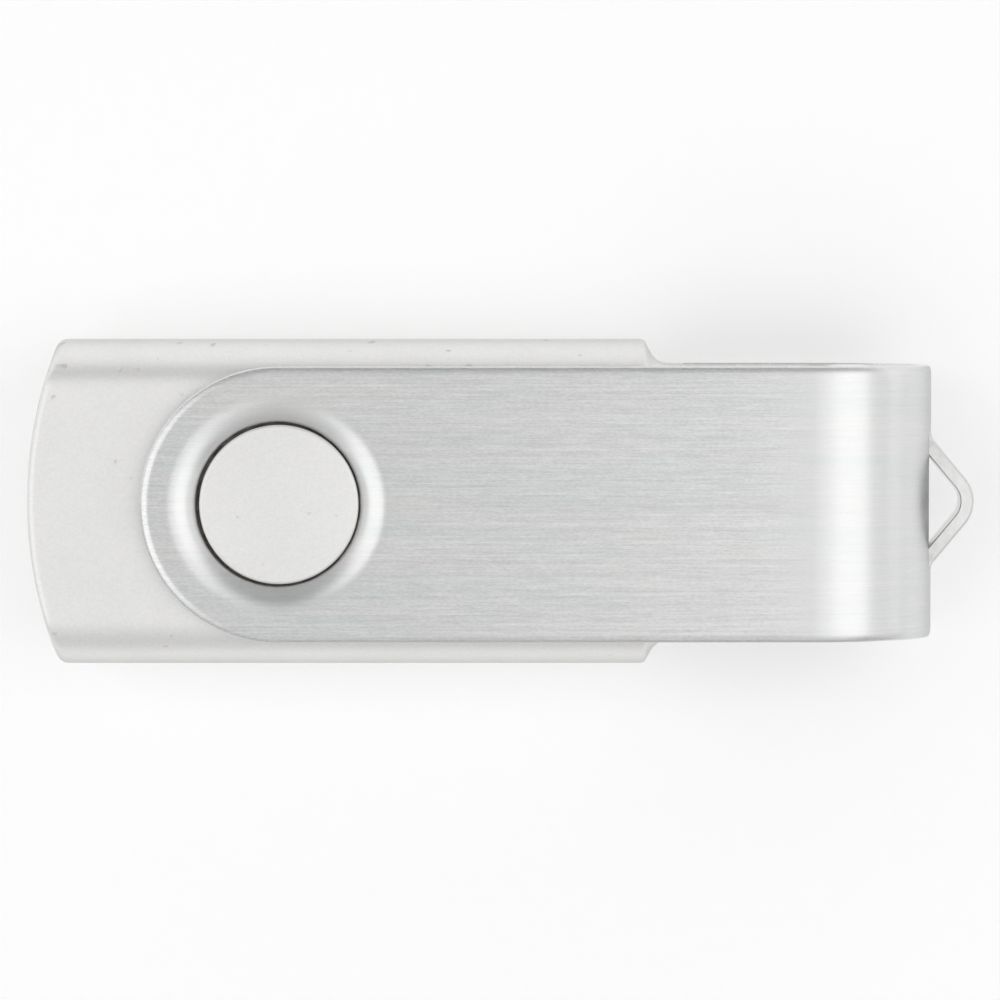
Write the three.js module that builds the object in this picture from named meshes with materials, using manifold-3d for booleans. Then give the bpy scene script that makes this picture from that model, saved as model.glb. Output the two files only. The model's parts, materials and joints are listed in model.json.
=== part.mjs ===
// USB flash drive with a swivel cover, in millimetres, +Z up. It lies flat on one plate of its cover, with
// the cover closed over the plug. The plug points along +X, and the origin is the middle of its footprint.
//
// Each piece is drawn in the pivot frame: the cover's pivot axis is the Z axis there, and Z is 0 halfway up
// the drive, where the two housing halves meet. The exported group carries that frame to the origin.

import * as THREE from "three";
import { mergeVertices } from "three/addons/utils/BufferGeometryUtils.js";
import Module from "manifold-3d";

const wasm = await Module();
wasm.setup();

// ---- Driving dimensions ----

const OVERALL_THICKNESS = 11; // outside of one cover plate to the outside of the other
const SMALL_GAP = 0.03; // clearance of a part held in another

// Cover: one strip of sheet, bent into a U.
const SHEET = 0.8;
const COVER_WIDTH = 16;
const PIVOT_TO_BEND = 38.25; // pivot axis to the outside of the bend
const BEND_LENGTH = 7.2; // of the bend, along X
const DISH_RADIUS = 6.45; // where the sheet starts to roll down to the pivot hole
const DISH_ROUNDING = 2.75;
const PIVOT_HOLE_RADIUS = 4.78;

// Key-ring loop: a strip lanced out of the bend and pushed outwards.
const LOOP_APEX = 40.7; // pivot axis to the outside of the loop
const LOOP_STRIP_WIDTH = 2.6; // along Z
const LOOP_STRIP = 0.8; // thickness of the strip
const LOOP_APEX_RADIUS = 2.1;
const LOOP_LEG_ANGLE = THREE.MathUtils.degToRad(50); // between a leg and the X axis
const SLOT_HALF_LENGTH = 3.7; // of the slot that the strip leaves in the bend

// Housing: two half shells that meet at Z = 0.
const HOUSING_WIDTH = 19;
const HOUSING_THICKNESS = 8.7;
const CORNER_Y = 2.8; // the long edges are quarter ellipses of this size
const CORNER_Z = 3.3;
const WALL = 1.1;
const TAIL_X = -14.95; // middle of the rounded tail
const TAIL_RADIUS = 24.2;
const TAIL_CORNER = 0.45;
const TAIL_DRAFT = 0.083; // how far its wall leans in, per mm away from the parting line
const SHOULDER_X = 21.13; // the full width ends here
const SHOULDER_LEAN = THREE.MathUtils.degToRad(27); // of its face, from square across
const SHOULDER_BREAK = 0.32; // rounding of its outer corner
const SHOULDER_RADIUS = 1.3; // the concave curve down to the neck
const NECK_HALF_WIDTH = 8.05;
const NECK_HALF_THICKNESS = 3.55;
const NECK_CORNER = 1.5;
const FRONT_X = 23.9; // front face of the neck
const FRONT_BREAK = 0.3;
const CAVITY_FRONT_X = 20.3;
const BOSS_RADIUS = 4.55;
const BOSS_TOP = 5.3;
const BOSS_CORE_RADIUS = 3.2;
const BOSS_CAP = 1; // thickness of the boss's end
const RECESS_RADIUS = 7.1; // groove around the boss, which the cover's dish turns in
const RECESS_FLOOR = 3.8;
const RECESS_WALL = 0.85;
const LIP_HEIGHT = 0.7; // of the upper half's lip, below Z = 0
const LIP_THICKNESS = 0.45;
const LIP_ROOT = 0.4;
const LIP_END_X = 19;

// Plug: USB type A.
const PLUG_WIDTH = 12;
const PLUG_HEIGHT = 4.5;
const PLUG_REACH = 12; // out of the housing
const PLUG_REAR_X = 17.3;
const PLUG_SHEET = 0.3;
const PLUG_CORNER = 0.65;
const WINDOW_SIZE = 2.4;
const WINDOW_SPACING = 5.7;
const WINDOW_FROM_TIP = 5.2;
const LEG_REAR_X = 15.3;
const LEG_BOTTOM = -2.4;
const LEG_TOP = 0.8;
const TONGUE_TOP = -0.05;
const BLOCK_REAR_X = 18.6;
const BLOCK_FRONT_X = 24;

// Contacts: name, place along Y, and how far the tip stands behind the mouth of the plug.
const CONTACTS = [
  ["contact_vbus", -3.5, 1.3],
  ["contact_data_minus", -1, 2.3],
  ["contact_data_plus", 1, 2.3],
  ["contact_ground", 3.5, 1.3],
];
const CONTACT_WIDTH = 1;
const CONTACT_SHEET = 0.25;

// Circuit board.
const BOARD_TOP = -0.9;
const BOARD_BOTTOM = -1.7;
const BOARD_REAR_X = -11.9;
const BOARD_FRONT_X = 18.3;
const BOARD_HALF_WIDTH = 7;
const TONGUE_HALF_WIDTH = 5.45; // of the board, between the plug's legs
const POST_X = [-10.6, 13.6];
const POST_Y = 5.6;
const POST_RADIUS = 0.9;
const PIN_RADIUS = 0.55;
const PIN_LENGTH = 0.5; // above the board
const PIN_HOLE_RADIUS = 0.75;

// Packages on the board.
const MEMORY = { length: 18.4, width: 12, height: 1, leads: 24, reach: 0.8, x: 1.5 };
const CONTROLLER = { length: 7, width: 7, height: 1.4, leads: 12, reach: 1, x: 8.2 };
const LEAD_PITCH = 0.5;
const LEAD_WIDTH = 0.22;
const LEAD_SHEET = 0.14;
const STAND_OFF = 0.05; // of a chip's body from the board

const ROUND_SEGMENTS = 48;
const POST_SEGMENTS = 12;
const CORNER_STEPS = 6;
const DISH_STEPS = 5;
const BREAK_STEPS = 2;
const BIG = 60; // reaches past the drive in every direction

// ---- Shapes and booleans ----

const X = new THREE.Vector3(1, 0, 0);
const Y = new THREE.Vector3(0, 1, 0);
const Z = new THREE.Vector3(0, 0, 1);

// A closed geometry as a manifold-3d solid.
function solid(geometry) {
  const bare = geometry.clone();
  bare.deleteAttribute("normal");
  bare.deleteAttribute("uv");
  const merged = mergeVertices(bare, 1e-5);
  const mesh = new wasm.Mesh({
    numProp: 3,
    vertProperties: merged.attributes.position.array,
    triVerts: new Uint32Array(merged.index.array),
  });
  return new wasm.Manifold(mesh);
}

function named(name, body, material) {
  const mesh = body.getMesh();
  const geometry = new THREE.BufferGeometry();
  geometry.setAttribute("position", new THREE.BufferAttribute(mesh.vertProperties, 3));
  geometry.setIndex(new THREE.BufferAttribute(mesh.triVerts, 1));
  geometry.computeVertexNormals();
  const made = new THREE.Mesh(geometry, material);
  made.name = name;
  return made;
}

function box([x0, x1], [y0, y1], [z0, z1]) {
  const geometry = new THREE.BoxGeometry(x1 - x0, y1 - y0, z1 - z0);
  return solid(geometry.translate((x0 + x1) / 2, (y0 + y1) / 2, (z0 + z1) / 2));
}

function column(radius, [z0, z1], x = 0, y = 0, segments = ROUND_SEGMENTS) {
  const geometry = new THREE.CylinderGeometry(radius, radius, z1 - z0, segments);
  return solid(geometry.rotateX(Math.PI / 2).translate(x, y, (z0 + z1) / 2));
}

// A shape extruded between two heights, with the shape's own x and y along the axes given.
function extruded(shape, [from, to], along, across, direction, curveSegments = ROUND_SEGMENTS / 4) {
  const geometry = new THREE.ExtrudeGeometry(shape, { depth: to - from, bevelEnabled: false, curveSegments });
  geometry.translate(0, 0, from);
  return solid(geometry.applyMatrix4(new THREE.Matrix4().makeBasis(along, across, direction)));
}

const plate = (shape, heights, curveSegments) => extruded(shape, heights, X, Y, Z, curveSegments);
const bar = (shape, ends, curveSegments) => extruded(shape, ends, Y, Z, X, curveSegments);
const profile = (shape, halfWidth, curveSegments) =>
  extruded(shape, [-halfWidth, halfWidth], X, Z, Y.clone().negate(), curveSegments);

const polygon = (points) => new THREE.Shape(points.map(([x, y]) => new THREE.Vector2(x, y)));

function roundedRectangle(halfWidth, halfHeight, radius) {
  const shape = new THREE.Shape();
  const [w, h] = [halfWidth - radius, halfHeight - radius];
  shape.absarc(w, h, radius, 0, Math.PI / 2);
  shape.absarc(-w, h, radius, Math.PI / 2, Math.PI);
  shape.absarc(-w, -h, radius, Math.PI, 1.5 * Math.PI);
  shape.absarc(w, -h, radius, 1.5 * Math.PI, 2 * Math.PI);
  return shape;
}

const mirrored = (body) => body.mirror([0, 0, 1]);

// ---- Cover ----

// The U seen from the side: the outside, or the inside, of the sheet.
function uShape(inset) {
  const half = OVERALL_THICKNESS / 2 - inset;
  const bendCentre = PIVOT_TO_BEND - BEND_LENGTH;
  const shape = new THREE.Shape();
  shape.moveTo(-BIG, -half);
  shape.lineTo(bendCentre, -half);
  shape.absellipse(bendCentre, 0, BEND_LENGTH - inset, half, -Math.PI / 2, Math.PI / 2);
  shape.lineTo(-BIG, half);
  return shape;
}

// The plates seen from above: straight sides, and a round end about the pivot.
function coverOutline() {
  const shape = new THREE.Shape();
  shape.absarc(0, 0, COVER_WIDTH / 2, Math.PI / 2, 1.5 * Math.PI);
  shape.lineTo(BIG, -COVER_WIDTH / 2);
  shape.lineTo(BIG, COVER_WIDTH / 2);
  return shape;
}

// The ring of sheet around the upper pivot hole, pressed down towards the housing.
function dish() {
  const top = OVERALL_THICKNESS / 2;
  const upper = [[DISH_RADIUS + 0.2, top]];
  for (let i = 0; i <= DISH_STEPS; i++) {
    const radius = THREE.MathUtils.lerp(DISH_RADIUS, PIVOT_HOLE_RADIUS, i / DISH_STEPS);
    const drop = DISH_ROUNDING - Math.sqrt(DISH_ROUNDING ** 2 - (DISH_RADIUS - radius) ** 2);
    upper.push([radius, top - drop]);
  }
  const lower = upper.map(([r, z]) => [r, z - SHEET]).reverse();
  const outline = [...upper, ...lower, upper[0]].map(([r, z]) => new THREE.Vector2(r, z));
  return solid(new THREE.LatheGeometry(outline, ROUND_SEGMENTS).rotateX(Math.PI / 2));
}

// One edge of the loop's strip seen from above: two straight legs and a round apex.
function loopEdge(apexX, radius, rootX) {
  const centreX = apexX - radius;
  const legTop = new THREE.Vector2(Math.sin(LOOP_LEG_ANGLE), Math.cos(LOOP_LEG_ANGLE)).multiplyScalar(radius);
  legTop.x += centreX;
  const rootY = legTop.y + (legTop.x - rootX) * Math.tan(LOOP_LEG_ANGLE);
  const turn = Math.PI / 2 - LOOP_LEG_ANGLE;
  const shape = new THREE.Shape();
  shape.moveTo(rootX, -rootY);
  shape.lineTo(legTop.x, -legTop.y);
  shape.absarc(centreX, 0, radius, -turn, turn);
  shape.lineTo(rootX, rootY);
  return shape;
}

function keyRingLoop() {
  const rootX = PIVOT_TO_BEND - 0.75 * SHEET;
  const heights = [-LOOP_STRIP_WIDTH / 2, LOOP_STRIP_WIDTH / 2];
  const outer = loopEdge(LOOP_APEX, LOOP_APEX_RADIUS, rootX);
  const inner = loopEdge(LOOP_APEX - LOOP_STRIP, LOOP_APEX_RADIUS - LOOP_STRIP, rootX - 2);
  return plate(outer, heights).subtract(plate(inner, [-BIG, BIG]));
}

function swivelCover() {
  const outside = profile(uShape(0), COVER_WIDTH / 2);
  const inside = profile(uShape(SHEET), COVER_WIDTH);
  const hole = column(DISH_RADIUS, [-BIG, BIG]);
  const slot = box(
    [PIVOT_TO_BEND - 2 * SHEET, BIG],
    [-SLOT_HALF_LENGTH, SLOT_HALF_LENGTH],
    [-LOOP_STRIP_WIDTH / 2, LOOP_STRIP_WIDTH / 2],
  );
  const bent = outside.subtract(inside).intersect(plate(coverOutline(), [-BIG, BIG]));
  return bent.subtract(hole).add(dish()).add(mirrored(dish())).subtract(slot).add(keyRingLoop());
}

// ---- Housing ----

// One cross-section of the housing: a rectangle whose corners are quarter ellipses, as points around it.
function housingSection(x, halfWidth, halfThickness, cornerY, cornerZ) {
  const points = [];
  for (let quarter = 0; quarter < 4; quarter++) {
    const [signY, signZ] = [[1, 1], [-1, 1], [-1, -1], [1, -1]][quarter];
    for (let i = 0; i <= CORNER_STEPS; i++) {
      const angle = ((quarter + i / CORNER_STEPS) * Math.PI) / 2;
      const y = signY * (halfWidth - cornerY) + cornerY * Math.cos(angle);
      const z = signZ * (halfThickness - cornerZ) + cornerZ * Math.sin(angle);
      points.push(new THREE.Vector3(x, y, z));
    }
  }
  return points;
}

// A closed solid through convex cross-sections with the same number of points, in order along +X.
function loft(sections) {
  const count = sections[0].length;
  const index = [];
  for (let s = 0; s + 1 < sections.length; s++) {
    for (let i = 0; i < count; i++) {
      const [a, b] = [s * count + i, s * count + ((i + 1) % count)];
      index.push(a, b, a + count, b, b + count, a + count);
    }
  }
  const last = (sections.length - 1) * count;
  for (let i = 1; i + 1 < count; i++) {
    index.push(0, i + 1, i, last, last + i, last + i + 1);
  }
  const geometry = new THREE.BufferGeometry().setFromPoints(sections.flat());
  geometry.setIndex(index);
  return solid(geometry);
}

// A section between the full one (share 1) and the neck's (share 0), drawn in by inset all round.
function blendedSection(x, share, inset) {
  const size = (neck, full) => THREE.MathUtils.lerp(neck, full, share) - inset;
  return housingSection(
    x,
    size(NECK_HALF_WIDTH, HOUSING_WIDTH / 2),
    size(NECK_HALF_THICKNESS, HOUSING_THICKNESS / 2),
    size(NECK_CORNER, CORNER_Y),
    size(NECK_CORNER, CORNER_Z),
  );
}

// The tail's outline seen from above, drawn in by inset, with everything ahead of it.
function tailOutline(inset) {
  const centreX = TAIL_X + TAIL_RADIUS;
  const radius = TAIL_RADIUS - inset;
  const halfWidth = HOUSING_WIDTH / 2 - inset;
  const turn = Math.asin((halfWidth - TAIL_CORNER) / radius);
  const cornerX = centreX - Math.sqrt(radius ** 2 - halfWidth ** 2);
  const shape = new THREE.Shape();
  shape.absarc(centreX, 0, radius, Math.PI - turn, Math.PI + turn);
  shape.quadraticCurveTo(cornerX, -halfWidth, cornerX + TAIL_CORNER, -halfWidth);
  shape.lineTo(BIG, -halfWidth);
  shape.lineTo(BIG, halfWidth);
  shape.lineTo(cornerX + TAIL_CORNER, halfWidth);
  shape.quadraticCurveTo(cornerX, halfWidth, centreX - radius * Math.cos(turn), radius * Math.sin(turn));
  return shape;
}

// Places along the shoulder, as [x, half width]: its rounded corner, then its leaning face and the curve onto
// the neck.
function shoulderPlaces() {
  const turn = Math.PI / 2 - SHOULDER_LEAN;
  const fullHalf = HOUSING_WIDTH / 2;
  const drop = (radius, angle) => radius * (1 - Math.cos(angle));
  const faceDrop = fullHalf - NECK_HALF_WIDTH - drop(SHOULDER_BREAK + SHOULDER_RADIUS, turn);
  const curveEnd =
    SHOULDER_X + (SHOULDER_BREAK + SHOULDER_RADIUS) * Math.sin(turn) + faceDrop * Math.tan(SHOULDER_LEAN);
  const places = [];
  for (let i = 0; i <= BREAK_STEPS; i++) {
    const angle = (turn * i) / BREAK_STEPS;
    const x = SHOULDER_X + SHOULDER_BREAK * Math.sin(angle);
    places.push([x, fullHalf - drop(SHOULDER_BREAK, angle)]);
  }
  for (let i = CORNER_STEPS; i >= 0; i--) {
    const angle = (turn * i) / CORNER_STEPS;
    const x = curveEnd - SHOULDER_RADIUS * Math.sin(angle);
    places.push([x, NECK_HALF_WIDTH + drop(SHOULDER_RADIUS, angle)]);
  }
  return places;
}

function housingOutside() {
  const sections = [blendedSection(-BIG, 1, 0)];
  for (const [x, halfWidth] of shoulderPlaces()) {
    const share = (halfWidth - NECK_HALF_WIDTH) / (HOUSING_WIDTH / 2 - NECK_HALF_WIDTH);
    sections.push(blendedSection(x, share, 0));
  }
  sections.push(blendedSection(FRONT_X - FRONT_BREAK, 0, 0), blendedSection(FRONT_X, 0, FRONT_BREAK));
  return loft(sections).intersect(leaning(plate(tailOutline(0), [-BIG, BIG])));
}

// A solid sheared along X by the tail's draft.
function leaning(part) {
  return part.transform([1, 0, 0, 0, 0, 1, 0, 0, TAIL_DRAFT, 0, 1, 0, 0, 0, 0, 1]);
}

function housingCavity() {
  const sections = [blendedSection(-BIG, 1, WALL), blendedSection(CAVITY_FRONT_X, 1, WALL)];
  return loft(sections).intersect(plate(tailOutline(WALL), [-BIG, BIG]));
}

// The upper half's lip, which fills the inner part of the lower half's wall just below where they meet. The
// clearance makes the rebate that it drops into.
function lip(clearance) {
  const rearPart = box([-BIG, LIP_END_X + clearance], [-BIG, BIG], [-BIG, BIG]);
  const outside = plate(tailOutline(WALL - LIP_THICKNESS - clearance), [-LIP_HEIGHT - clearance, LIP_ROOT]);
  return outside.subtract(plate(tailOutline(WALL), [-BIG, BIG])).intersect(rearPart);
}

// The upper half. The lower half is its mirror image, apart from the lip and the posts.
function housingHalf() {
  const wallTop = RECESS_FLOOR - RECESS_WALL;
  const pad = column(RECESS_RADIUS + WALL, [wallTop, RECESS_FLOOR]);
  const recess = column(RECESS_RADIUS, [RECESS_FLOOR, BIG]);
  const boss = column(BOSS_RADIUS, [wallTop, BOSS_TOP]);
  const core = column(BOSS_CORE_RADIUS, [0, BOSS_TOP - BOSS_CAP]);
  const [openY, openZ] = [PLUG_WIDTH / 2 + SMALL_GAP, PLUG_HEIGHT / 2 + SMALL_GAP];
  const plugOpening = bar(roundedRectangle(openY, openZ, PLUG_CORNER), [CAVITY_FRONT_X - 1, BIG], 4);
  const upperSide = box([-BIG, BIG], [-BIG, BIG], [0, BIG]);
  return housingOutside()
    .subtract(housingCavity())
    .add(pad)
    .subtract(recess)
    .add(boss)
    .subtract(core)
    .subtract(plugOpening)
    .intersect(upperSide);
}

const postPlaces = POST_X.flatMap((x) => [-POST_Y, POST_Y].map((y) => [x, y]));
const postRoot = HOUSING_THICKNESS / 2 - 0.9 * WALL; // inside the wall

// The upper half's posts press the board down, and are hollow over the lower half's pins.
function housingUpper() {
  let body = housingHalf().add(lip(0));
  for (const [x, y] of postPlaces) {
    const post = column(POST_RADIUS, [BOARD_TOP + SMALL_GAP, postRoot], x, y, POST_SEGMENTS);
    const hollow = column(PIN_HOLE_RADIUS, [BOARD_TOP, BOARD_TOP + PIN_LENGTH + 0.3], x, y, POST_SEGMENTS);
    body = body.add(post.subtract(hollow));
  }
  return body;
}

// The lower half's posts carry the board, and their pins go through its holes.
function housingLower() {
  let body = mirrored(housingHalf()).subtract(lip(SMALL_GAP));
  for (const [x, y] of postPlaces) {
    body = body.add(column(POST_RADIUS, [-postRoot, BOARD_BOTTOM], x, y, POST_SEGMENTS));
    body = body.add(column(PIN_RADIUS, [-postRoot, BOARD_TOP + PIN_LENGTH], x, y, POST_SEGMENTS));
  }
  return body;
}

// ---- Plug ----

const PLUG_TIP_X = FRONT_X + PLUG_REACH;

function plugShell() {
  const outerShape = roundedRectangle(PLUG_WIDTH / 2, PLUG_HEIGHT / 2, PLUG_CORNER);
  const innerShape = roundedRectangle(
    PLUG_WIDTH / 2 - PLUG_SHEET,
    PLUG_HEIGHT / 2 - PLUG_SHEET,
    PLUG_CORNER - PLUG_SHEET,
  );
  let body = bar(outerShape, [PLUG_REAR_X, PLUG_TIP_X], 4).subtract(bar(innerShape, [-BIG, BIG], 4));
  const windowX = PLUG_TIP_X - WINDOW_FROM_TIP;
  for (const side of [-1, 1]) {
    const y = (side * WINDOW_SPACING) / 2;
    const across = [y - WINDOW_SIZE / 2, y + WINDOW_SIZE / 2];
    const opening = box([windowX - WINDOW_SIZE, windowX], across, [-BIG, BIG]);
    const wall = [PLUG_WIDTH / 2 - PLUG_SHEET, PLUG_WIDTH / 2].map((v) => v * side).sort((a, b) => a - b);
    const strap = box([LEG_REAR_X, PLUG_REAR_X + 0.3], wall, [-0.6, LEG_TOP]);
    const leg = box([LEG_REAR_X, LEG_REAR_X + 1.4], wall, [LEG_BOTTOM, LEG_TOP]);
    body = body.subtract(opening).add(strap).add(leg);
  }
  return body;
}

function plugInsulator() {
  const halfWidth = PLUG_WIDTH / 2 - PLUG_SHEET - SMALL_GAP;
  const halfHeight = PLUG_HEIGHT / 2 - PLUG_SHEET - SMALL_GAP;
  const tongueEnd = PLUG_TIP_X - 0.7;
  const block = bar(roundedRectangle(halfWidth, halfHeight, 0.35), [BLOCK_REAR_X, BLOCK_FRONT_X], 2);
  const tongueHalf = halfWidth - 0.3;
  const tongue = box([BLOCK_FRONT_X - 1, tongueEnd], [-tongueHalf, tongueHalf], [-halfHeight, TONGUE_TOP]);
  let body = block.add(tongue);
  for (const [, y, behind] of CONTACTS) {
    const half = CONTACT_WIDTH / 2 + SMALL_GAP;
    const groove = box(
      [0, PLUG_TIP_X - behind + 0.1],
      [y - half, y + half],
      [-CONTACT_SHEET - SMALL_GAP, SMALL_GAP],
    );
    body = body.subtract(groove);
  }
  return body;
}

// A strip that lies in its groove, comes out behind the block and steps down to its pad on the board.
function contact(y, behind) {
  const tip = PLUG_TIP_X - behind;
  const padTop = BOARD_TOP + CONTACT_SHEET;
  const outline = [
    [tip, -0.12],
    [tip - 0.5, 0],
    [18, 0],
    [17.2, padTop],
    [15.9, padTop],
    [15.9, BOARD_TOP],
    [17.1, BOARD_TOP],
    [17.9, -CONTACT_SHEET],
    [tip, -CONTACT_SHEET],
  ];
  return profile(polygon(outline.reverse()), CONTACT_WIDTH / 2).translate([0, y, 0]);
}

// ---- Circuit board and what is on it ----

function circuitBoard() {
  const [w, t] = [BOARD_HALF_WIDTH, TONGUE_HALF_WIDTH];
  const notchX = LEG_REAR_X - 0.3;
  const outline = polygon([
    [BOARD_REAR_X + 1, -w],
    [notchX, -w],
    [notchX, -t],
    [BOARD_FRONT_X, -t],
    [BOARD_FRONT_X, t],
    [notchX, t],
    [notchX, w],
    [BOARD_REAR_X + 1, w],
    [BOARD_REAR_X, w - 1],
    [BOARD_REAR_X, -w + 1],
  ]);
  let body = plate(outline, [BOARD_BOTTOM, BOARD_TOP]);
  for (const x of POST_X) {
    for (const y of [-POST_Y, POST_Y]) {
      body = body.subtract(column(PIN_HOLE_RADIUS, [-BIG, BIG], x, y, 16));
    }
  }
  return body;
}

// Gull-wing leads along the two ends of a package, each bent down from mid-height to the board at Z = 0.
function leadRows({ length, height, leads: count, reach }) {
  const [root, tip] = [length / 2, length / 2 + reach];
  const [bend, foot] = [root + 0.35 * reach, root + 0.55 * reach];
  const [low, high] = [(height - LEAD_SHEET) / 2, (height + LEAD_SHEET) / 2];
  const outline = polygon([
    [root - 0.1, low],
    [bend, low],
    [foot, 0],
    [tip, 0],
    [tip, LEAD_SHEET],
    [bend, high],
    [root - 0.1, high],
  ]);
  const leads = [];
  for (let i = 0; i < count; i++) {
    const lead = profile(outline, LEAD_WIDTH / 2).translate([0, (i - (count - 1) / 2) * LEAD_PITCH, 0]);
    leads.push(lead, lead.rotate([0, 0, 180]));
  }
  return leads;
}

// A moulded chip body standing on the board at Z = 0, with its leads.
function chip({ length, width, height }, leads) {
  const body = box([-length / 2, length / 2], [-width / 2, width / 2], [STAND_OFF, STAND_OFF + height]);
  return leads.reduce((joined, lead) => joined.add(lead), body);
}

function memoryChip() {
  return mirrored(chip(MEMORY, leadRows(MEMORY))).translate([MEMORY.x, 0, BOARD_BOTTOM]);
}

function controllerChip() {
  const ends = leadRows(CONTROLLER);
  const sides = ends.map((lead) => lead.rotate([0, 0, 90]));
  return chip(CONTROLLER, [...ends, ...sides]).translate([CONTROLLER.x, 0, BOARD_TOP]);
}

function crystal() {
  const base = box([-2.5, 2.5], [-1.6, 1.6], [0, 0.6]);
  const lid = plate(roundedRectangle(2.3, 1.4, 0.5), [0.5, 1.2], 3);
  return base.add(lid).translate([-0.4, 3.6, BOARD_TOP]);
}

function voltageRegulator() {
  const body = box([-0.65, 0.65], [-1.45, 1.45], [STAND_OFF, 1.1]);
  const leads = [
    [-1.2, -0.95],
    [-1.2, 0.95],
    [1.2, 0],
  ].map(([x, y]) => box([Math.min(x, 0), Math.max(x, 0)], [y - 0.2, y + 0.2], [0, 0.15]));
  return leads.reduce((joined, lead) => joined.add(lead), body).translate([-1.2, -3.4, BOARD_TOP]);
}

function activityLed() {
  const base = box([-0.62, 0.62], [-1, 1], [0, 0.35]);
  const lens = box([-0.55, 0.55], [-0.6, 0.6], [0.3, 0.8]);
  return base.add(lens).translate([-9.3, 0, BOARD_TOP]);
}

// A surface-mount part of 1.6 by 0.8 mm. The metal cap on each end stands slightly proud of its middle.
function endCappedPart(height, x, y, turn) {
  const cap = box([0.45, 0.8], [-0.42, 0.42], [0, height + 0.03]);
  const middle = box([-0.5, 0.5], [-0.4, 0.4], [0.02, height]);
  const body = middle.add(cap).add(cap.rotate([0, 0, 180]));
  return body.rotate([0, 0, turn]).translate([x, y, BOARD_TOP]);
}

// Each one's x, y and turn about Z in degrees.
const CAPACITORS = [
  [13, 3.3, 90],
  [13, -3.3, 90],
  [3, -5.2, 0],
  [-4.4, 3.6, 90],
  [-4.6, -3.4, 90],
];
const RESISTORS = [
  [14.6, 1, 0],
  [14.6, -1, 0],
  [-6.6, 0, 90],
  [3, 5.2, 0],
];

// ---- The drive ----

function finish(color, roughness, metalness) {
  return new THREE.MeshStandardMaterial({ color, roughness, metalness });
}

const silverPaint = finish(0xd9d9d7, 0.45, 0.3);
const brushedAluminium = finish(0xc9cbcb, 0.35, 1);
const nickelPlate = finish(0xc6c6c4, 0.25, 1);
const insulatorPlastic = finish(0xe8e8e4, 0.6, 0);
const goldPlate = finish(0xd9b45a, 0.3, 1);
const boardLaminate = finish(0x1d5a35, 0.5, 0);
const chipMould = finish(0x1b1b1d, 0.6, 0);
const ceramicBody = finish(0xb59a72, 0.6, 0);
const resistorBody = finish(0x202022, 0.5, 0);
const ledLens = finish(0xf2efe0, 0.2, 0);

const drive = new THREE.Group();
drive.add(
  named("swivel_cover", swivelCover(), brushedAluminium),
  named("housing_upper", housingUpper(), silverPaint),
  named("housing_lower", housingLower(), silverPaint),
  named("plug_shell", plugShell(), nickelPlate),
  named("plug_insulator", plugInsulator(), insulatorPlastic),
  named("circuit_board", circuitBoard(), boardLaminate),
  named("memory_chip", memoryChip(), chipMould),
  named("controller_chip", controllerChip(), chipMould),
  named("crystal", crystal(), nickelPlate),
  named("voltage_regulator", voltageRegulator(), chipMould),
  named("activity_led", activityLed(), ledLens),
);
for (const [name, y, behind] of CONTACTS) {
  drive.add(named(name, contact(y, behind), goldPlate));
}
CAPACITORS.forEach(([x, y, turn], i) => {
  drive.add(named(`capacitor_${i + 1}`, endCappedPart(0.8, x, y, turn), ceramicBody));
});
RESISTORS.forEach(([x, y, turn], i) => {
  drive.add(named(`resistor_${i + 1}`, endCappedPart(0.45, x, y, turn), resistorBody));
});
drive.position.set(-(LOOP_APEX + TAIL_X) / 2, 0, OVERALL_THICKNESS / 2);

const part = new THREE.Group();
part.add(drive);

export default part;
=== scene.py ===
"""Looks of the USB flash drive with a swivel cover.

Pieces are drawn in the pivot frame, in millimetres: there the cover's pivot axis is the Z axis, Z is 0 where
the housing's halves meet, and the plug points along +X. in_frame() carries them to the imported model's frame.
"""
import json
import math

import bmesh
import bpy
from mathutils import Matrix, Vector


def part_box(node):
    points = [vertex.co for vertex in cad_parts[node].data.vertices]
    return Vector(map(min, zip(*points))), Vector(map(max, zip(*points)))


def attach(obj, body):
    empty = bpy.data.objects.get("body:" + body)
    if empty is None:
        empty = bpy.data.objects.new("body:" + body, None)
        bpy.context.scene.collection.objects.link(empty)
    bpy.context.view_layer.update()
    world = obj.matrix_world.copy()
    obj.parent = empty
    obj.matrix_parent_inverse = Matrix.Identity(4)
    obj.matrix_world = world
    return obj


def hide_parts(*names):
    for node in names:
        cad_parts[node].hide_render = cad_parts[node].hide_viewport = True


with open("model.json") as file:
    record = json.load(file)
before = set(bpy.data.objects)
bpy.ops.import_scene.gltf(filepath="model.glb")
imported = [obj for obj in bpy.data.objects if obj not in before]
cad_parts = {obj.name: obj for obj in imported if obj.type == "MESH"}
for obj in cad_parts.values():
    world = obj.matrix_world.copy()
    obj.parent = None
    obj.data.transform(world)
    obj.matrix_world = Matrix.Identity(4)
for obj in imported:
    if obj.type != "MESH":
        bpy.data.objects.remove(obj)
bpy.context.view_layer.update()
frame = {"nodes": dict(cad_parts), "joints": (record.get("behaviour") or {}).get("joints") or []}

MM = 0.001
PIVOT = Vector(frame["joints"][0]["pos_m"])


def node_box(name):
    """A CAD node's lowest and highest corners, in the pivot frame, in millimetres."""
    return [(corner - PIVOT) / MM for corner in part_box(name)]


# ---- Driving dimensions, in millimetres. The outer ones come from the frame ----

COVER_HIGH = node_box("swivel_cover")[1]
HOUSING_LOW, HOUSING_HIGH = node_box("housing_upper")
PLUG_LOW, PLUG_HIGH = node_box("plug_shell")

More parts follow.
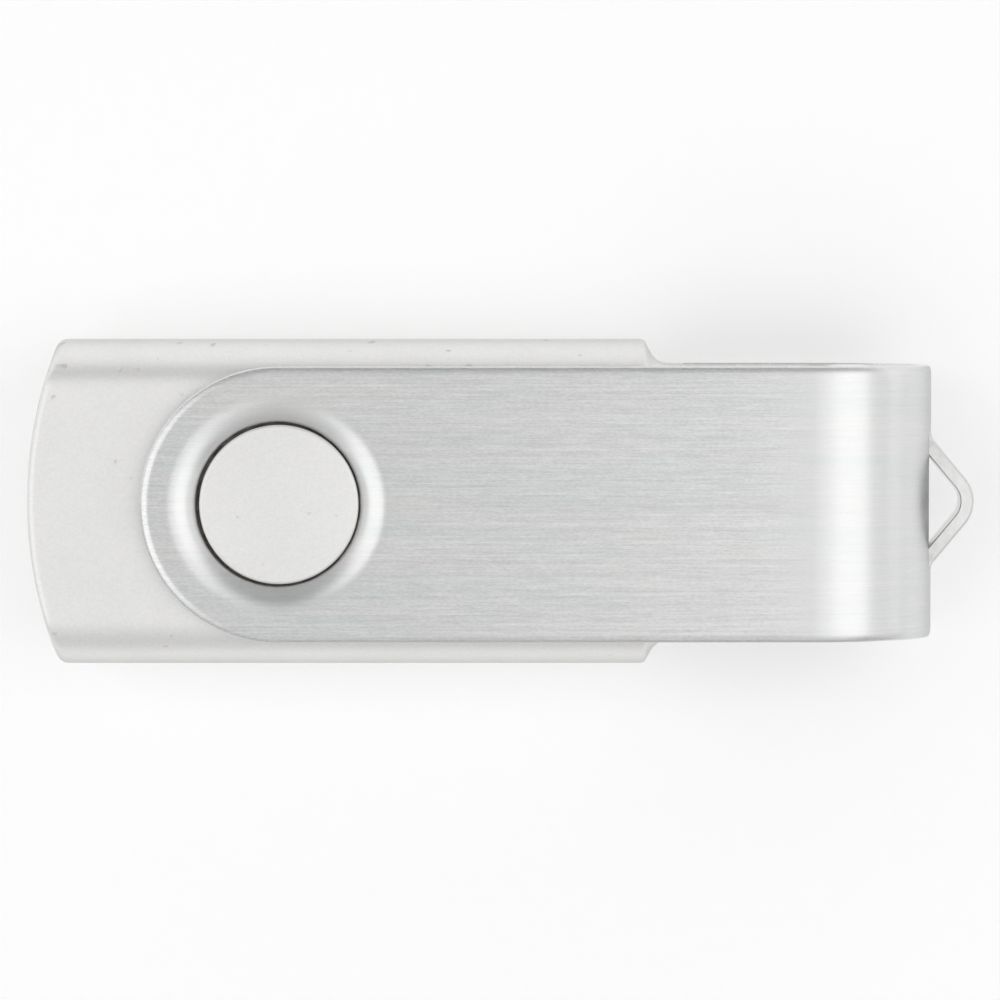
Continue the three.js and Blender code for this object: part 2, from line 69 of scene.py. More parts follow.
SHEET = 0.8  # the cover's sheet
PLATE_Z = COVER_HIGH.z  # outside of the upper plate
COVER_HALF = COVER_HIGH.y
BEND_X = 38.25  # outside of the bend
BEND_LENGTH = 7.2  # the bend's half ellipse, along X
HOLE_RADIUS = 4.73
DISH_RADIUS = 6.55
DISH_ROUNDING = 2.9  # of the sheet where it rolls down to the hole
ROLL_OVER = 0.47  # width of the sheet's outer edge where shearing has drawn it down
HOLE_ROLL_OVER = 0.05
ROLL_OVER_SLOPE = math.radians(25)  # where it meets the sheared edge
EDGE_BREAK = 0.07  # between the rolled-over face and the sheared edge
INNER_BREAK = 0.08  # between the sheared edge and the inner face
SLOT_HALF_WIDTH = 1.3  # along Z
SLOT_HALF_LENGTH = 4.05  # along Y
LOOP_APEX = COVER_HIGH.x
LOOP_APEX_RADIUS = 2.1
LOOP_ROOT_RADIUS = 1.4
LOOP_LEG_ANGLE = math.radians(50)  # from the X axis
STRIP_FLAT = 0.85  # share of the loop's strip, across it, that its rounded edges leave flat
STRIP_ROUNDING = 0.14  # how far its outer edges are drawn down
STRIP_INNER_ROUNDING = 0.056

TAIL_X = HOUSING_LOW.x
FRONT_X = HOUSING_HIGH.x
HOUSING_HALF = HOUSING_HIGH.y
HOUSING_TOP = 4.35
CORNER_Y = 2.8
CORNER_Z = 3.3
WALL = 1.1
PARTING_BREAK = 0.07
TAIL_RADIUS = 24.2
TAIL_CORNER = 0.45
TAIL_EDGE_ROUND = 0.2
TAIL_DRAFT = 0.083
SHOULDER_X = 21.13
SHOULDER_LEAN = math.radians(27)  # of its face, from square across
SHOULDER_ROUND = 0.32
SHOULDER_FILLET = 1.3
NECK_HALF = 8.05
NECK_TOP = 3.55
NECK_CORNER = 1.5
FRONT_ROUND = 0.3
CAVITY_FRONT_X = 20.3
RECESS_RADIUS = 7.1  # round each boss, for the cover's dish
RECESS_FLOOR = 3.8
BOSS_TOP = HOUSING_HIGH.z
BOSS_RADIUS = 4.62
BOSS_OFFSET = 0.07  # how far play lets it sit ahead of the middle of the cover's hole
BOSS_HOLLOW_RADIUS = 3.2
BOSS_ROOF = 1
BOSS_WALL = 0.85  # under the recess round it

PLUG_TIP = PLUG_HIGH.x
PLUG_HALF = PLUG_HIGH.y
PLUG_TOP = PLUG_HIGH.z
PLUG_REAR = 17.3
PLUG_SHEET = 0.3
PLUG_CORNER = 0.65
PLUG_GAP = 0.03  # between the plug and the housing's opening
PLUG_RIM = 0.1  # rounding of the mouth's edges
WINDOW_SIZE = 2.4
WINDOW_CORNER = 0.35
WINDOW_Y = 2.85
WINDOW_SETBACK = 5.2  # from the plug's tip
ARM_LOW, ARM_HIGH = -0.6, 0.8  # of the shell's two arms beside the board
LEG_WIDTH = 1.4  # of the solder leg at each arm's end
SEAM_WIDTH = 0.05
SEAM_DEPTH = 0.12

QUARTER = math.pi / 2
BEYOND = 40  # clear of every face, for the ends of cutting solids
SLACK = 1e-6  # in comparisons of places
MERGE = 1e-5  # points closer than this are one
BOOLEAN_MERGE = 1e-4

# ---- Mesh helpers ----


def blended(a, b, share):
    return a + (b - a) * share


def arc(turn, steps):
    """Angles from 0 to turn."""
    return [turn * i / steps for i in range(steps + 1)]


def drop(radius, angle):
    """How far an arc has left its tangent."""
    return radius * (1 - math.cos(angle))


def rest(radius, angle):
    """How far an arc still has to go to a quarter turn."""
    return radius * (1 - math.sin(angle))


def in_frame(co):
    return Vector(co) * MM + PIVOT


def linked(name, data):
    """A new object in the scene."""
    made = bpy.data.objects.new(name, data)
    bpy.context.scene.collection.objects.link(made)
    return made


def as_mesh(name, bm):
    mesh = bpy.data.meshes.new(name)
    bm.to_mesh(mesh)
    bm.free()
    return mesh


def discard(made):
    """Removes an object and its mesh."""
    mesh = made.data
    bpy.data.objects.remove(made)
    bpy.data.meshes.remove(mesh)


def new_object(name, bm, sharp_degrees=32):
    """A shown object from a bmesh drawn in the pivot frame, smooth apart from its sharp edges."""
    bmesh.ops.remove_doubles(bm, verts=bm.verts, dist=MERGE)
    bmesh.ops.recalc_face_normals(bm, faces=bm.faces)
    for v in bm.verts:
        v.co = in_frame(v.co)
    mesh = as_mesh(name, bm)
    mesh.shade_smooth()
    mesh.set_sharp_from_angle(angle=math.radians(sharp_degrees))
    return linked(name, mesh)


def solid(points, faces):
    """A bmesh from points and faces."""
    bm = bmesh.new()
    verts = [bm.verts.new(p) for p in points]
    for face in faces:
        corners = [verts[i] for i in face]
        if len(set(corners)) > 2:
            bm.faces.new(corners)
    bmesh.ops.remove_doubles(bm, verts=bm.verts, dist=MERGE)
    bmesh.ops.recalc_face_normals(bm, faces=bm.faces)
    return bm


def ring_faces(count, rings, closed=True):
    """The faces between rings of count points each, numbered one ring after another."""
    faces = []
    for r in range(rings - 1):
        for i in range(count if closed else count - 1):
            a, b = r * count + i, r * count + (i + 1) % count
            faces.append((a, b, b + count, a + count))
    return faces


def skin(rings, closed=True, capped=True):
    """A bmesh through rings of points, all of one length."""
    count = len(rings[0])
    points = [p for ring in rings for p in ring]
    faces = ring_faces(count, len(rings), closed)
    if capped:
        faces.append(tuple(range(count)))
        faces.append(tuple(range(len(points) - count, len(points))))
    return solid(points, faces)


def revolved(profile, segments=96, centre=(0, 0)):
    """A surface of revolution about a vertical axis, from (radius, z) points."""
    rings = []
    for i in range(segments):
        angle = 2 * math.pi * i / segments
        c, s = math.cos(angle), math.sin(angle)
        rings.append([(centre[0] + r * c, centre[1] + r * s, z) for r, z in profile])
    rings.append(rings[0])
    return skin(rings, closed=False, capped=False)


def column(radius, z0, z1, segments=48):
    """A round solid about the pivot axis."""
    return revolved([(0, z0), (radius, z0), (radius, z1), (0, z1)], segments)


def rounded_rectangle(half_y, half_z, radius, steps=8):
    """Points round a rectangle with round corners, in the YZ plane, from the upper end of its +Y side."""
    points = []
    for quarter, (sy, sz) in enumerate([(1, 1), (-1, 1), (-1, -1), (1, -1)]):
        for i in range(steps + 1):
            angle = (quarter + i / steps) * QUARTER
            y = sy * (half_y - radius) + radius * math.cos(angle)
            z = sz * (half_z - radius) + radius * math.sin(angle)
            points.append((y, z))
    return points


def bar(outline, x0, x1):
    """An outline in the YZ plane, drawn out along X."""
    return skin([[(x, y, z) for y, z in outline] for x in (x0, x1)])


def box(low, high):
    """A block between two corners."""
    (x0, y0, z0), (x1, y1, z1) = low, high
    return bar([(y0, z0), (y1, z0), (y1, z1), (y0, z1)], x0, x1)


def plan(outline, z0, z1):
    """An outline in the XY plane, drawn out along Z."""
    return skin([[(x, y, z) for x, y in outline] for z in (z0, z1)])


def combined(bm, *steps):
    """bm after booleans with other bmeshes, each step an operation and the solid that it uses."""
    holder = linked("working", as_mesh("working", bm))
    for operation, other in steps:
        tool = linked("tool", as_mesh("tool", other))
        modifier = holder.modifiers.new("cut", "BOOLEAN")
        modifier.operation = operation
        modifier.solver = "EXACT"
        modifier.object = tool
        evaluated = holder.evaluated_get(bpy.context.evaluated_depsgraph_get())
        result = bpy.data.meshes.new_from_object(evaluated)
        holder.modifiers.clear()
        old, holder.data = holder.data, result
        bpy.data.meshes.remove(old)
        discard(tool)
    out = bmesh.new()
    out.from_mesh(holder.data)
    discard(holder)
    bmesh.ops.remove_doubles(out, verts=out.verts, dist=BOOLEAN_MERGE)
    return out


def mirrored(bm):
    """bm reflected in the parting plane."""
    bmesh.ops.transform(bm, matrix=Matrix.Scale(-1, 4, (0, 0, 1)), verts=bm.verts)
    bmesh.ops.reverse_faces(bm, faces=bm.faces)
    return bm


# ---- Cover ----

BEND_CENTRE = BEND_X - BEND_LENGTH
EDGE_LINE = COVER_HALF - ROLL_OVER - EDGE_BREAK  # where the sheet's flat face ends
PATCH_X = COVER_HALF  # where the round patch about the pivot gives way to the straight grid

DISH_STEPS = 18
DISH_RIM = 0.3  # flat ring kept round each dish
CORNER_STEPS = 10  # of a patch, from the straight grid's corner to the round end
ROUND_END_STEPS = 44
STRAIGHT_STEPS = 6  # of the grid from a patch to the bend
BEND_STEPS = 30  # from a plate to the slot
SLOT_PLACES = (1, 0.97, 0.9, 0.7, 0.35, 0)  # from the slot's edge to its middle, in its half widths
SLOT_ROWS = 8  # from the slot's middle to its end, along Y
OUTER_ROWS = 6  # from there to the sheet's edge
ROLL_OVER_STEPS = 5
LOOP_STEPS = 8  # of each of the loop's arcs


def bend_angles():
    """Places round the bend, 0 at the upper plate and pi at the lower one, the slot's edges among them."""
    edge = math.acos(SLOT_HALF_WIDTH / PLATE_Z)
    approach = [edge * i / BEND_STEPS for i in range(BEND_STEPS)]
    half = approach + [math.acos(SLOT_HALF_WIDTH * f / PLATE_Z) for f in SLOT_PLACES]
    return half + [math.pi - a for a in reversed(half[:-1])]


def dish_drop(radius):
    """How far the sheet has rolled down, so far from a pivot hole's middle."""
    into = max(DISH_RADIUS - radius, 0)
    return DISH_ROUNDING - math.sqrt(DISH_ROUNDING**2 - into**2)


def on_plate(x, y, depth, side):
    """A point of the upper plate (side 1) or the lower one (side -1), depth under its outer face."""
    return (x, y, side * (PLATE_Z - depth - dish_drop(math.hypot(x, y))))


def on_bend(angle, y, depth):
    """A point of the bend, depth under its outer face."""
    along = Vector((math.sin(angle) * BEND_LENGTH, math.cos(angle) * PLATE_Z))
    normal = Vector((math.sin(angle) / BEND_LENGTH, math.cos(angle) / PLATE_Z)).normalized()
    x, z = along - normal * depth
    return (BEND_CENTRE + x, y, z)


def bend_run():
    """How far along the outside of the bend each of its places is."""
    run = [0]
    for a, b in zip(bend_angles(), bend_angles()[1:]):
        run.append(run[-1] + (Vector(on_bend(b, 0, 0)) - Vector(on_bend(a, 0, 0))).length)
    return run


BLANK_LENGTH = 2 * BEND_CENTRE + bend_run()[-1]  # between the pivot holes, before folding
UV_UNIT = 10  # of the blank's UV map


def sheet_rows():
    """The grid's places along Y, with the slot's ends among them."""
    half = [SLOT_HALF_LENGTH * i / SLOT_ROWS for i in range(SLOT_ROWS)]
    half += [blended(SLOT_HALF_LENGTH, EDGE_LINE, i / OUTER_ROWS) for i in range(OUTER_ROWS + 1)]
    return [-y for y in reversed(half[1:])] + half


def patch_directions(rows):
    """Angles about the pivot: those of the rows on the patch's straight side, then round its other sides."""
    first = [math.atan2(y, EDGE_LINE) for y in rows]
    corner = [math.radians(45 + 45 * i / CORNER_STEPS) for i in range(1, CORNER_STEPS)]
    end = [math.radians(90 + 180 * i / ROUND_END_STEPS) for i in range(ROUND_END_STEPS + 1)]
    return first + corner + end + [-a for a in reversed(corner)]


def patch_edge(angle):
    """Where a direction from the pivot meets the patch's edge, and the outward direction there."""
    c, s = math.cos(angle), math.sin(angle)
    if c <= SLACK:
        return Vector((EDGE_LINE * c, EDGE_LINE * s)), Vector((c, s))
    outward = Vector((0, math.copysign(1, s)))
    if abs(s) > c + SLACK:
        return Vector((PATCH_X * c / abs(s), math.copysign(EDGE_LINE, s))), outward
    return Vector((PATCH_X, EDGE_LINE * s / c)), outward


def edge_profile(width):
    """The sheet's edge, from its outer face to its inner one: how far out and how deep each point is, and
    whether the face before it is sheared metal."""
    radius = width / math.sin(ROLL_OVER_SLOPE)
    turns = arc(ROLL_OVER_SLOPE, ROLL_OVER_STEPS)[1:]
    rolled = [(radius * math.sin(a), drop(radius, a), False) for a in turns]
    reach = width + EDGE_BREAK
    corner = 0.3 * INNER_BREAK  # how far a rounding's middle stays inside both faces
    sheared = [
        (reach, rolled[-1][1] + EDGE_BREAK, True),
        (reach, SHEET - INNER_BREAK, True),
        (reach - corner, SHEET - corner, True),
        (reach - INNER_BREAK, SHEET, True),
    ]
    return rolled + sheared


def loop_path():
    """The middle line of the key-ring loop's strip from its lower root to its upper one: place, outward
    direction, and how far it has left the bend, from 0 to 1."""
    start_x = BEND_X - SHEET / 2
    middle_radius = LOOP_APEX_RADIUS - SHEET / 2
    apex_centre = LOOP_APEX - LOOP_APEX_RADIUS
    turns = arc(QUARTER - LOOP_LEG_ANGLE, LOOP_STEPS)
    half = []
    for i, a in enumerate(turns):
        x = start_x + drop(LOOP_ROOT_RADIUS, a)
        y = LOOP_ROOT_RADIUS * math.sin(a) - SLOT_HALF_LENGTH
        half.append((Vector((x, y)), Vector((math.cos(a), -math.sin(a))), i / LOOP_STEPS))
    for a in reversed(turns):
        normal = Vector((math.cos(a), -math.sin(a)))
        half.append((Vector((apex_centre, 0)) + normal * middle_radius, normal, 1))
    other = [(Vector((p.x, -p.y)), Vector((n.x, -n.y)), share) for p, n, share in reversed(half[:-1])]
    return half + other


class CoverSheet:
    """The folded cover's points and faces, with each point's place in the flat blank for its UV map."""

    def __init__(self):
        self.points, self.flat, self.faces, self.sheared = [], [], [], []
        self.on_edge = False  # whether the faces that are being made are sheared metal
        self.rows, self.angles, self.run = sheet_rows(), bend_angles(), bend_run()
        self.directions = patch_directions(self.rows)
        shares = [i / STRAIGHT_STEPS for i in range(1, STRAIGHT_STEPS)]
        self.straight = [blended(PATCH_X, BEND_CENTRE, share) for share in shares]
        reach = SLOT_HALF_WIDTH + SLACK
        self.slot_angles = [a for a in self.angles if abs(math.cos(a)) * PLATE_Z < reach]
        first = 1 + len(self.straight) + self.angles.index(self.slot_angles[0])
        self.slot_columns = range(first, first + len(self.slot_angles))
        self.slot_rows = [i for i, y in enumerate(self.rows) if abs(y) < SLOT_HALF_LENGTH + SLACK]
        self.patches = {}  # rings of points about each pivot hole, by side and depth
        self.columns = {}  # lines of points across the sheet, from patch to patch round the bend, by depth
        for side in (1, -1):
            self.make_patch(side)
        self.make_grid()
        for side in (1, -1):
            self.make_end_edge(side)
        for sign in (-1, 1):
            self.make_side_edge(sign)
        self.make_loop()

    def add(self, point, flat):
        """Keeps a point and gives its number."""
        self.points.append(point)
        self.flat.append(flat)
        return len(self.points) - 1

    def plate_point(self, x, y, depth, side):
        return self.add(on_plate(x, y, depth, side), (x if side > 0 else BLANK_LENGTH - x, y))

    def bend_point(self, angle, run, y, depth):
        return self.add(on_bend(angle, y, depth), (BEND_CENTRE + run, y))

    def face(self, *corners):
        self.faces.append(corners)
        self.sheared.append(self.on_edge)

    def strip(self, a, b):
        """The faces between two lines of points."""
        for i in range(len(a) - 1):
            self.face(a[i], a[i + 1], b[i + 1], b[i])

    def circle(self, radius, depth, side):
        """A closed ring of points about a pivot hole."""
        places = [(radius * math.cos(a), radius * math.sin(a)) for a in self.directions]
        ring = [self.plate_point(x, y, depth, side) for x, y in places]
        return ring + ring[:1]

    def join_edge(self, outer, inner, width, line_at):
        """Closes the sheet's edge between a line of points on its outer face and one on its inner face.
        line_at(out, depth) makes the line that lies so far out and so deep."""
        previous = outer
        for out, depth, sheared in edge_profile(width):
            self.on_edge = sheared
            line = line_at(out, depth)
            self.strip(previous, line)
            previous = line
        self.strip(previous, inner)
        self.on_edge = False

    def make_patch(self, side):
        """The round patch about a pivot hole, and the hole's edge."""
        first = HOLE_RADIUS + HOLE_ROLL_OVER + EDGE_BREAK
        radii = [blended(first, DISH_RADIUS, i / DISH_STEPS) for i in range(DISH_STEPS + 1)]
        radii.append(DISH_RADIUS + DISH_RIM)
        for depth in (0, SHEET):
            rings = [self.circle(radius, depth, side) for radius in radii]
            edge = [self.plate_point(*patch_edge(a)[0], depth, side) for a in self.directions]
            rings.append(edge + edge[:1])
            for a, b in zip(rings, rings[1:]):
                self.strip(a, b)
            self.patches[side, depth] = rings

        def line_at(out, depth):
            return self.circle(first - out, depth, side)

        outer, inner = (self.patches[side, depth][0] for depth in (0, SHEET))
        self.join_edge(outer, inner, HOLE_ROLL_OVER, line_at)

    def make_grid(self):
        """The grid between the two patches, with the slot left open."""
        count = len(self.rows)
        for depth in (0, SHEET):
            made = [self.patches[1, depth][-1][:count]]
            for x in self.straight:
                made.append([self.plate_point(x, y, depth, 1) for y in self.rows])
            for angle, run in zip(self.angles, self.run):
                made.append([self.bend_point(angle, run, y, depth) for y in self.rows])
            for x in reversed(self.straight):
                made.append([self.plate_point(x, y, depth, -1) for y in self.rows])
            made.append(self.patches[-1, depth][-1][:count])
            self.columns[depth] = made
        for made in self.columns.values():
            for c, (a, b) in enumerate(zip(made, made[1:])):
                for r in range(count - 1):
                    if c not in self.slot_columns[:-1] or r not in self.slot_rows[:-1]:
                        self.face(a[r], a[r + 1], b[r + 1], b[r])

    def make_end_edge(self, side):
        """The sheet's edge about a patch, from its +Y corner round the end to its -Y corner."""
        run = [*range(len(self.rows) - 1, len(self.directions)), 0]
        edge = [patch_edge(self.directions[i]) for i in run]

        def line_at(out, depth):
            return [self.plate_point(*(place + outward * out), depth, side) for place, outward in edge]

        outer, inner = ([self.patches[side, depth][-1][i] for i in run] for depth in (0, SHEET))
        self.join_edge(outer, inner, ROLL_OVER, line_at)

    def make_side_edge(self, sign):
        """The sheet's edge along one side, from the upper patch round the bend to the lower one."""
        row = 0 if sign < 0 else len(self.rows) - 1
        flat = [PATCH_X, *self.straight]

        def line_at(out, depth):
            y = sign * (EDGE_LINE + out)
            line = [self.plate_point(x, y, depth, 1) for x in flat]
            line += [self.bend_point(angle, run, y, depth) for angle, run in zip(self.angles, self.run)]
            return line + [self.plate_point(x, y, depth, -1) for x in reversed(flat)]

        outer, inner = ([across[row] for across in self.columns[depth]] for depth in (0, SHEET))
        self.join_edge(outer, inner, ROLL_OVER, line_at)

    def loop_point(self, angle, depth, place, outward, share):
        """A point of the loop's outer face (depth 0) or its inner one. It leaves the bend as share grows."""
        root = Vector(on_bend(angle, 0, depth))
        across = math.cos(angle) * PLATE_Z / SLOT_HALF_WIDTH
        near_edge = max(0, (abs(across) - STRIP_FLAT) / (1 - STRIP_FLAT))
        rounding = (STRIP_ROUNDING if depth == 0 else STRIP_INNER_ROUNDING) * near_edge**2 * share
        offset = (SHEET / 2 - rounding) * (1 if depth == 0 else -1)
        x, y = place + outward * offset
        sag = (root.x - on_bend(QUARTER, 0, depth)[0]) * (1 - share)
        z = blended(root.z, across * SLOT_HALF_WIDTH, share)
        return self.add((x + sag, y, z), (BLANK_LENGTH / 2 + z, y))

    def loop_lines(self, depth):
        """Lines of points across the loop's strip, from its lower root to its upper one."""
        ends = (self.slot_rows[0], self.slot_rows[-1])
        low_root, high_root = ([self.columns[depth][c][row] for c in self.slot_columns] for row in ends)
        lines = [low_root]
        for step in loop_path()[1:-1]:
            lines.append([self.loop_point(angle, depth, *step) for angle in self.slot_angles])
        return [*lines, high_root]

    def make_loop(self):
        """The slot's long sides, and the strip that was pushed out of it."""
        self.on_edge = True
        for c in (self.slot_columns[0], self.slot_columns[-1]):
            outer, inner = ([self.columns[depth][c][r] for r in self.slot_rows] for depth in (0, SHEET))
            self.strip(outer, inner)
        outer, inner = self.loop_lines(0), self.loop_lines(SHEET)
        self.on_edge = False
        for a, b in zip(outer, outer[1:]):
            self.strip(a, b)
        self.on_edge = True
        for a, b in zip(inner, inner[1:]):
            self.strip(a, b)
        for end in (0, -1):
            self.strip([line[end] for line in outer], [line[end] for line in inner])


def make_cover():
    """The folded sheet, with a UV map of its flat blank whose U runs across the brushing."""
    sheet = CoverSheet()
    bm = bmesh.new()
    verts = [bm.verts.new(p) for p in sheet.points]
    place = dict(zip(verts, sheet.flat))
    for face, sheared in zip(sheet.faces, sheet.sheared):
        bm.faces.new([verts[i] for i in face]).material_index = int(sheared)
    uv = bm.loops.layers.uv.new("blank")
    for face in bm.faces:
        for corner in face.loops:
            x, y = place[corner.vert]
            corner[uv].uv = (y / UV_UNIT, x / UV_UNIT)
    return new_object("cover_sheet", bm, sharp_degrees=35)


# ---- Housing ----

SIDE_POINTS = 3  # of a section, up one side to where its corner starts
SECTION_STEPS = 14  # of its corner
TOP_STEPS = 13  # from its corner to the middle of its top
TAIL_STEPS = 6
BODY_PLACES = (-10, -5, 0, 5, 10, 15, 19)  # of the full section, along X


def section(half, top, corner_y, corner_z, inset_y=0, inset_z=0):
    """The upper half of a housing cross-section as (y, z) points, from +Y at the parting line over to -Y.
    The insets draw its sides and its top in."""
    side = [(half - PARTING_BREAK, 0), (half, PARTING_BREAK), (half, (top - corner_z) / 2)]
    normals = [(1, 0)] * SIDE_POINTS
    for a in arc(QUARTER, SECTION_STEPS):
        side.append((half - drop(corner_y, a), top - rest(corner_z, a)))
        normals.append(Vector((math.cos(a) * corner_z, math.sin(a) * corner_y)).normalized())
    for i in range(1, TOP_STEPS + 1):
        side.append(((half - corner_y) * (1 - i / (TOP_STEPS + 0.5)), top))
        normals.append((0, 1))
    right = [(y - n[0] * inset_y, max(z - n[1] * inset_z, 0)) for (y, z), n in zip(side, normals)]
    return right + [(-y, z) for y, z in reversed(right)]


def full_section(inset_y=0, inset_z=0):
    return section(HOUSING_HALF, HOUSING_TOP, CORNER_Y, CORNER_Z, inset_y, inset_z)


def shoulder_section(share, inset=0):
    """Between the neck's section, at share 0, and the full one, at share 1."""
    neck = (NECK_HALF, NECK_TOP, NECK_CORNER, NECK_CORNER)
    full = (HOUSING_HALF, HOUSING_TOP, CORNER_Y, CORNER_Z)
    return section(*[blended(a, b, share) for a, b in zip(neck, full)], inset, inset)


def shoulder_steps():
    """(x, half width) places down the shoulder: a rounded edge, a leaning face, a fillet onto the neck."""
    turn = QUARTER - SHOULDER_LEAN
    places = []
    for a in arc(turn, 6):
        places.append((SHOULDER_X + SHOULDER_ROUND * math.sin(a), HOUSING_HALF - drop(SHOULDER_ROUND, a)))
    x, y = places[-1]
    x += (y - NECK_HALF - drop(SHOULDER_FILLET, turn)) * math.tan(SHOULDER_LEAN)
    for a in reversed(arc(turn, 10)):
        along = SHOULDER_FILLET * (math.sin(turn) - math.sin(a))
        places.append((x + along, NECK_HALF + drop(SHOULDER_FILLET, a)))
    return places


def tail_x(y):
    """Where the tail's arc is at the parting plane."""
    return TAIL_X + TAIL_RADIUS - math.sqrt(TAIL_RADIUS**2 - y**2)


def tail_ring(angle):
    """A section round the tail's edge, from the rim of its wall, at angle 0, to the full section."""
    draw_in, back = rest(1, angle), drop(TAIL_CORNER, angle)
    ring = []
    for y, z in full_section(TAIL_CORNER * draw_in, TAIL_EDGE_ROUND * draw_in):
        parting = PARTING_BREAK * math.cos(angle) if z < SLACK else 0
        ring.append((tail_x(y) + TAIL_DRAFT * z + back + parting, y, z))
    return ring


def housing_rings():
    """Sections of the upper half's outside, from the rim of its tail wall to its front face."""
    rings = [tail_ring(a) for a in arc(QUARTER, TAIL_STEPS)]
    for x in BODY_PLACES:
        rings.append([(x, y, z) for y, z in full_section()])
    for x, half in shoulder_steps():
        share = (half - NECK_HALF) / (HOUSING_HALF - NECK_HALF)
        rings.append([(x, y, z) for y, z in shoulder_section(share)])
    for a in arc(QUARTER, 4):
        x = FRONT_X - rest(FRONT_ROUND, a)
        rings.append([(x, y, z) for y, z in shoulder_section(0, drop(FRONT_ROUND, a))])
    return rings


def housing_skin():
    """The outside of the upper half, closed at the parting plane."""
    rings = housing_rings()
    count = len(rings[0])
    points = [p for ring in rings for p in ring]
    faces = ring_faces(count, len(rings), closed=False)
    # The tail's wall, from its rim down to the broken edge at the parting plane. At both ends the rim's own
    # side points already lie on it.
    low = range(len(points), len(points) + count)
    points += [(tail_x(y) + TAIL_DRAFT * PARTING_BREAK, y, PARTING_BREAK) for x, y, z in rings[0]]
    foot = range(len(points), len(points) + count)
    points += [(tail_x(y) + PARTING_BREAK, y, 0) for x, y, z in rings[0]]
    first, last = SIDE_POINTS, count - 1 - SIDE_POINTS
    for i in range(first, last):
        faces.append((i, i + 1, low[i + 1], low[i]))
        faces.append((low[i], low[i + 1], foot[i + 1], foot[i]))
    for a, b, c, end in ((0, 1, 2, first), (count - 1, count - 2, count - 3, last)):
        faces.append((b, c, end, low[end]))
        faces.append((a, b, low[end], foot[end]))
    # The front face and the parting plane.
    starts = [r * count for r in range(len(rings))]
    faces.append(tuple(range(starts[-1], starts[-1] + count)))
    faces.append((*foot[first : last + 1], *[start + count - 1 for start in starts], *reversed(starts)))
    return solid(points, faces)


def rounded_boss():
    """The pivot boss, with its edge rounded and a small fillet at its foot."""
    top_round, foot, root = 0.16, 0.2, 0.5
    profile = [(0, RECESS_FLOOR - root), (BOSS_RADIUS + foot, RECESS_FLOOR - root)]
    for a in arc(QUARTER, 4):
        profile.append((BOSS_RADIUS + rest(foot, a), RECESS_FLOOR + drop(foot, a)))
    for a in arc(QUARTER, 6):
        profile.append((BOSS_RADIUS - drop(top_round, a), BOSS_TOP - rest(top_round, a)))
    profile.append((0, BOSS_TOP))
    return revolved(profile, 128, (BOSS_OFFSET, 0))


def tail_outline(inset):
    """The cavity's outline seen from above: the tail's arc, and everything ahead of it."""
    half = HOUSING_HALF - inset
    radius = TAIL_RADIUS - inset
    centre = TAIL_X + TAIL_RADIUS
    corner_break, steps = 0.4, 24
    turn = math.asin((half - corner_break) / radius)
    points = []
    for i in range(steps + 1):
        a = math.pi - turn + 2 * turn * i / steps
        points.append((centre + radius * math.cos(a), radius * math.sin(a)))
    corner = centre - math.sqrt(radius**2 - half**2) + corner_break
    return points + [(corner, -half), (CAVITY_FRONT_X, -half), (CAVITY_FRONT_X, half), (corner, half)]


def housing_cavity():
    """The inside of the upper half, carried on past the parting plane, where it is open."""
    outline = rounded_rectangle(HOUSING_HALF - WALL, HOUSING_TOP - WALL, CORNER_Y - WALL)
    seen_from_above = plan(tail_outline(WALL), -BEYOND, BEYOND)
    return combined(bar(outline, -BEYOND, CAVITY_FRONT_X), ("INTERSECT", seen_from_above))


def housing_half():
    """The upper half without its lip and posts."""
    skim = 0.01  # keeps the pad's top off the recess's floor
    opening = rounded_rectangle(PLUG_HALF + PLUG_GAP, PLUG_TOP + PLUG_GAP, PLUG_CORNER)
    return combined(
        housing_skin(),
        ("DIFFERENCE", housing_cavity()),
        ("UNION", column(RECESS_RADIUS + WALL, RECESS_FLOOR - BOSS_WALL, RECESS_FLOOR - skim, 96)),
        ("DIFFERENCE", column(RECESS_RADIUS, RECESS_FLOOR, BEYOND, 128)),
        ("UNION", rounded_boss()),
        ("DIFFERENCE", column(BOSS_HOLLOW_RADIUS, -1, BOSS_TOP - BOSS_ROOF)),
        ("DIFFERENCE", bar(opening, CAVITY_FRONT_X - 1, FRONT_X + 1)),
    )


# ---- Plug ----


def plug_section(inset):
    """The plug's outline, drawn in."""
    least_corner = 0.05
    return rounded_rectangle(PLUG_HALF - inset, PLUG_TOP - inset, max(PLUG_CORNER - inset, least_corner))


def plug_tube():
    """The folded shell as a closed skin: its rear, its outside, round its mouth's edges and back inside."""
    places = [(PLUG_REAR, PLUG_SHEET), (PLUG_REAR, 0)]
    for a in arc(QUARTER, 4):
        places.append((PLUG_TIP - rest(PLUG_RIM, a), drop(PLUG_RIM, a)))
    for a in reversed(arc(QUARTER, 4)):
        places.append((PLUG_TIP - rest(PLUG_RIM, a), PLUG_SHEET - drop(PLUG_RIM, a)))
    places.append(places[0])
    return skin([[(x, y, z) for y, z in plug_section(inset)] for x, inset in places], capped=False)


def window(y):
    """A cutter with round corners for one window on each broad side."""
    half = WINDOW_SIZE / 2
    centre = PLUG_TIP - WINDOW_SETBACK - half
    outline = [(centre + a, y + b) for a, b in rounded_rectangle(half, half, WINDOW_CORNER, 6)]
    return plan(outline, -BEYOND, BEYOND)


